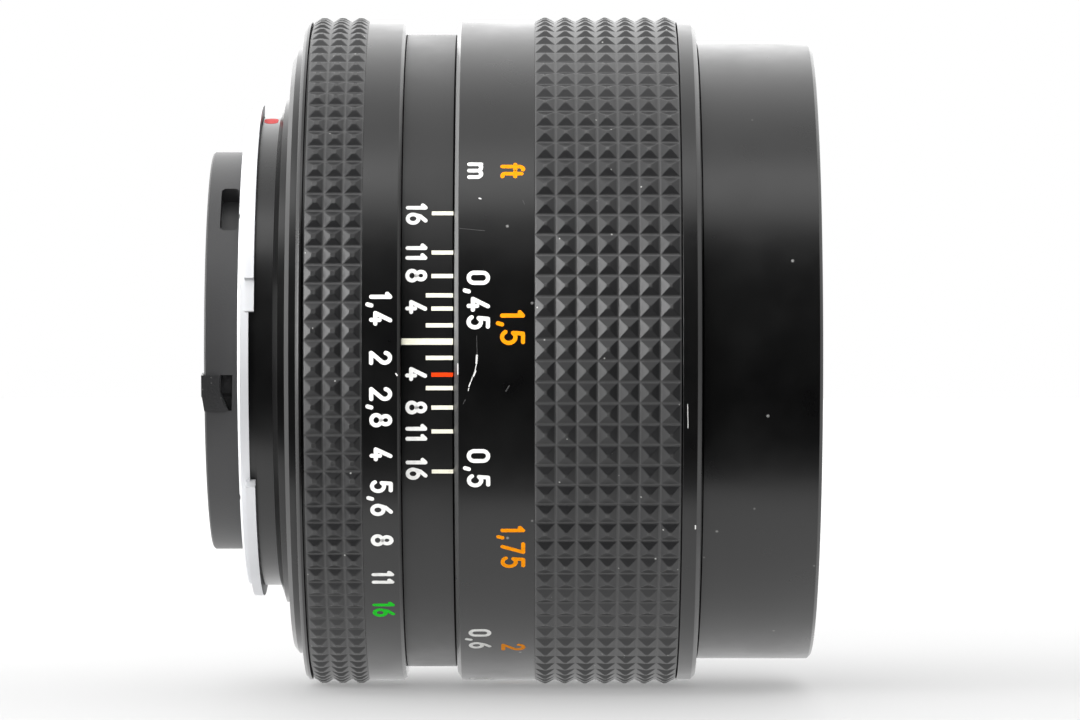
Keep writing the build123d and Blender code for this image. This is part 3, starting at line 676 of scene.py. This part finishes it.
pyramid_grip("aperture_grip_knurl", APERTURE_GRIP, {
    "valley": 30.95, "peak": 31.35, "jitter": 0.02, "wear": 0.02,
    "rings": ((0.90, 0.06, 0.08), (0.46, 0.66, 0.25), (0.24, 0.94, 0.4)),
}, knurl_black, "aperture", ["aperture_grip"], seed=7)

APERTURE_NUMBERS = (
    ("1,4", -6.8), ("2", 1.3), ("2,8", 9.5), ("4", 17.5), ("5,6", 25.4), ("8", 33.5), ("11", 41.5),
)
marks("aperture_numbers", [
    stroke for text, angle in APERTURE_NUMBERS
    for stroke in label(text, APERTURE_ROW, angle, BARREL_R)
], BARREL_R, white_paint, "aperture")
marks("aperture_number_16", label("16", APERTURE_ROW, 49.5, BARREL_R), BARREL_R, green_paint, "aperture")

DEPTH_NUMBERS = (
    ("16", -24.2), ("11", -17.2), ("8", -12.9), ("4", -7.4),
    ("4", 4.15), ("8", 9.95), ("11", 14.35), ("16", 21.0),
)
marks("depth_numbers", [
    stroke for text, angle in DEPTH_NUMBERS
    for stroke in label(text, DEPTH_ROW, angle, SCALE_R, DEPTH_STROKE_WIDTH)
], SCALE_R, white_paint, "barrel")

# The ticks stand on both sides of the index line. One is the red mark for infrared film.
INFRARED_OFFSET = 5.7
DEPTH_TICKS = (
    (2.8, LONG_TICK), (INFRARED_OFFSET, SHORT_TICK), (8.0, LONG_TICK),
    (11.4, SHORT_TICK), (15.6, SHORT_TICK), (22.9, SHORT_TICK),
)
ticks = [bar(INDEX_START, TICK_END, INDEX_ANGLE, INDEX_WIDTH, SCALE_R)]
for offset, start in DEPTH_TICKS:
    for side in (-1, 1):
        if (side, offset) != (1, INFRARED_OFFSET):
            ticks.append(bar(start, TICK_END, INDEX_ANGLE + side * offset, TICK_WIDTH, SCALE_R))
marks("depth_ticks", ticks, SCALE_R, cream_paint, "barrel")
infrared = bar(SHORT_TICK, TICK_END, INDEX_ANGLE + INFRARED_OFFSET, TICK_WIDTH, SCALE_R)
marks("infrared_tick", [infrared], SCALE_R, orange_red_paint, "barrel")


def focus_angle(distance):
    """Where the mark for a distance in millimetres from the film stands on the ring at rest."""
    k = distance / LENS_FOCAL_LENGTH - 2
    magnification = (k - sqrt(k * k - 4)) / 2
    return NEAREST_ANGLE + (NEAREST_DRAW - LENS_FOCAL_LENGTH * magnification) * DEGREES_PER_MM


def distances(texts, unit, row):
    """Strokes for the numbers of a distance scale, up to infinity. The unit is in millimetres."""
    strokes = []
    for text in texts:
        angle = focus_angle(unit * float(text.replace(",", ".")))
        strokes += label(text, row, angle, BARREL_R)
    return strokes + label("infinity", row, INFINITY_ANGLE, BARREL_R)


METRES = ("0,45", "0,5", "0,6", "0,7", "0,8", "1", "1,2", "1,5", "2", "3", "5", "10")
FEET = ("1,5", "1,75", "2", "2,5", "3", "4", "5", "7", "10", "15", "30")
metre_strokes = label("m", METRE_ROW, -31.3, BARREL_R)
metre_strokes += distances(METRES, 1000.0, METRE_ROW)
marks("focus_numbers_metres", metre_strokes, BARREL_R, white_paint, "focus")
feet_strokes = label("f", FEET_ROW, -32.0, BARREL_R) + label("t", FEET_ROW, -30.6, BARREL_R)
feet_strokes += distances(FEET, MM_PER_FOOT, FEET_ROW)
marks("focus_numbers_feet", feet_strokes, BARREL_R, orange_paint, "focus")


def scratch(points, width, radius):
    """A stroke through (a, angle) points on a ring."""
    line = [(radians(angle) * radius, a) for a, angle in points]
    return ribbon(refine(line), width, radius)


# Wear: a broken scratch under the scale, hairlines, and nicks on the edges
marks("focus_scratch", [
    scratch([(17.32, 0.9), (17.27, 2.2)], 0.16, BARREL_R),
    scratch([(17.27, 2.4), (17.16, 3.4)], 0.08, BARREL_R),
    scratch([(17.20, 3.5), (17.02, 4.3)], 0.14, BARREL_R),
    scratch([(16.92, 4.5), (16.80, 5.2)], 0.08, BARREL_R),
    scratch([(16.74, 5.4), (16.62, 6.0)], 0.11, BARREL_R),
    scratch([(16.60, 6.3), (16.54, 6.7)], 0.07, BARREL_R),
    scratch([(15.62, 2.3), (15.62, 4.0)], 0.10, BARREL_R - 0.05),
    scratch([(17.48, -26.0), (17.64, -25.9)], 0.12, BARREL_R),
], BARREL_R, bare_metal, "focus")
marks("focus_hairlines", [
    scratch([(17.30, -2.3), (17.34, 0.8)], 0.05, BARREL_R),
    scratch([(15.75, -20.5), (18.00, -20.1)], 0.05, BARREL_R),
    scratch([(19.90, 6.8), (20.20, 5.9)], 0.10, BARREL_R),
    scratch([(21.40, -25.6), (21.55, -24.9)], 0.07, BARREL_R),
    scratch([(16.30, 8.2), (16.10, 8.9)], 0.06, BARREL_R),
], BARREL_R, faint_mark, "focus")
aperture_nick = scratch([(10.10, 3.9), (10.22, 4.2)], 0.12, BARREL_R)
marks("aperture_nick", [aperture_nick], BARREL_R, bare_metal, "aperture")
marks("lip_nicks", [
    scratch([(36.10, 9.0), (36.14, 13.0)], 0.05, BARREL_R),
    scratch([(36.90, 30.6), (36.90, 31.2)], 0.12, BARREL_R),
], BARREL_R, bare_metal, "focus")

mark_line = refine([(-0.5, 0.0), (0.5, 0.0)])
mounting_mark = moved(ribbon(mark_line, 1.3, NOSE_R), -2.15, -76.0)
marks("mounting_mark", [mounting_mark], NOSE_R, red_paint, "barrel")

# ---------------------------------------------------------------------------------------------
# Stage


def area_light(name, place, target, size, power):
    data = bpy.data.lights.new(name, "AREA")
    data.shape = "RECTANGLE"
    data.size, data.size_y = size
    data.energy = power
    obj = bpy.data.objects.new(name, data)
    bpy.context.scene.collection.objects.link(obj)
    obj.location = Vector(place)
    obj.rotation_euler = (Vector(target) - Vector(place)).to_track_quat("-Z", "Y").to_euler()
    return obj


def node_ramp(tree, value, low, high, to_low, to_high):
    """value from low..high to to_low..to_high, held at both ends."""
    ramp = tree.nodes.new("ShaderNodeMapRange")
    ramp.inputs["From Min"].default_value = low
    ramp.inputs["From Max"].default_value = high
    ramp.inputs["To Min"].default_value = to_low
    ramp.inputs["To Max"].default_value = to_high
    tree.links.new(value, ramp.inputs["Value"])
    return ramp


def table_finish():
    """A white table that glows a little, more so in the distance and in the metal's reflections."""
    white = bpy.data.materials.new("white_table")
    white.use_nodes = True
    tree = white.node_tree
    table = tree.nodes["Principled BSDF"]
    table.inputs["Base Color"].default_value = (FLOOR_ALBEDO, FLOOR_ALBEDO, FLOOR_ALBEDO, 1)
    table.inputs["Emission Color"].default_value = (1, 1, 1, 1)
    table.inputs["Roughness"].default_value = 0.7
    table.inputs["Specular IOR Level"].default_value = 0.1
    coord = tree.nodes.new("ShaderNodeTexCoord")
    split = tree.nodes.new("ShaderNodeSeparateXYZ")
    tree.links.new(coord.outputs["Object"], split.inputs[0])
    farther = node_ramp(tree, split.outputs["Y"], 0.02, 0.50, FLOOR_GLOW, FLOOR_GLOW_FAR)
    path = tree.nodes.new("ShaderNodeLightPath")
    glow = tree.nodes.new("ShaderNodeMix")
    tree.links.new(path.outputs["Is Glossy Ray"], glow.inputs["Factor"])
    tree.links.new(farther.outputs["Result"], glow.inputs["A"])
    glow.inputs["B"].default_value = FLOOR_REFLECTED
    tree.links.new(glow.outputs["Result"], table.inputs["Emission Strength"])
    return white


def table_top(name, near, far, material):
    level = -FLOOR_DROP * MM
    corners = [(-2, near, level), (2, near, level), (2, far, level), (-2, far, level)]
    mesh = bpy.data.meshes.new(name)
    mesh.from_pydata(corners, [], [(0, 1, 2, 3)])
    obj = bpy.data.objects.new(name, mesh)
    bpy.context.scene.collection.objects.link(obj)
    mesh.materials.append(material)
    return obj


def studio_world():
    """White all round, brighter behind the lens, with a dark side behind the camera."""
    world = bpy.data.worlds.new("studio")
    bpy.context.scene.world = world
    world.use_nodes = True
    tree = world.node_tree
    nodes, links = tree.nodes, tree.links
    coord = nodes.new("ShaderNodeTexCoord")
    facing = nodes.new("ShaderNodeVectorMath")
    facing.operation = "DOT_PRODUCT"
    facing.inputs[1].default_value = DARK_SIDE
    links.new(coord.outputs["Generated"], facing.inputs[0])
    shade = node_ramp(tree, facing.outputs["Value"], 0.32, 0.80, SKY, 0.02)
    shade.interpolation_type = "SMOOTHSTEP"
    split = nodes.new("ShaderNodeSeparateXYZ")
    links.new(coord.outputs["Generated"], split.inputs[0])
    behind = node_ramp(tree, split.outputs["Y"], 0.0, 1.0, 0.0, SKY_BEHIND - SKY)
    total = nodes.new("ShaderNodeMath")
    total.operation = "ADD"
    links.new(shade.outputs["Result"], total.inputs[0])
    links.new(behind.outputs["Result"], total.inputs[1])
    path = nodes.new("ShaderNodeLightPath")
    seen = nodes.new("ShaderNodeMix")
    links.new(path.outputs["Is Camera Ray"], seen.inputs["Factor"])
    links.new(total.outputs[0], seen.inputs["A"])
    seen.inputs["B"].default_value = 1.0
    links.new(seen.outputs["Result"], nodes["Background"].inputs["Strength"])
    nodes["Background"].inputs["Color"].default_value = (1, 1, 1, 1)


def add_camera():
    """A level camera, square to the lens's side."""
    data = bpy.data.cameras.new("camera")
    data.sensor_width = SENSOR_WIDTH
    data.lens = CAMERA_FOCAL_LENGTH
    camera = bpy.data.objects.new("camera", data)
    bpy.context.scene.collection.objects.link(camera)
    aim = Vector(CAMERA_AIM) * MM
    camera.location = aim + Vector((0, -CAMERA_DISTANCE * MM, 0))
    camera.rotation_euler = (aim - camera.location).to_track_quat("-Z", "Y").to_euler()
    bpy.context.scene.camera = camera


white = table_finish()
table_top("table", TABLE_EDGE, TABLE_FAR, white)
table_top("table_front", TABLE_NEAR, TABLE_EDGE, white).visible_glossy = False
studio_world()
MIDDLE = (0.02, 0, 0)
area_light("left_light", (-0.55, -0.25, 0.12), MIDDLE, (0.45, 0.35), 5.5)
area_light("top_light", (0.02, -0.27, 0.45), MIDDLE, (0.60, 0.20), 0.6)
front_fill = area_light("front_fill", (-0.10, -0.90, 0.30), MIDDLE, (0.70, 0.50), 8.0)
front_fill.visible_glossy = False
add_camera()
bpy.context.scene.view_settings.view_transform = "Standard"
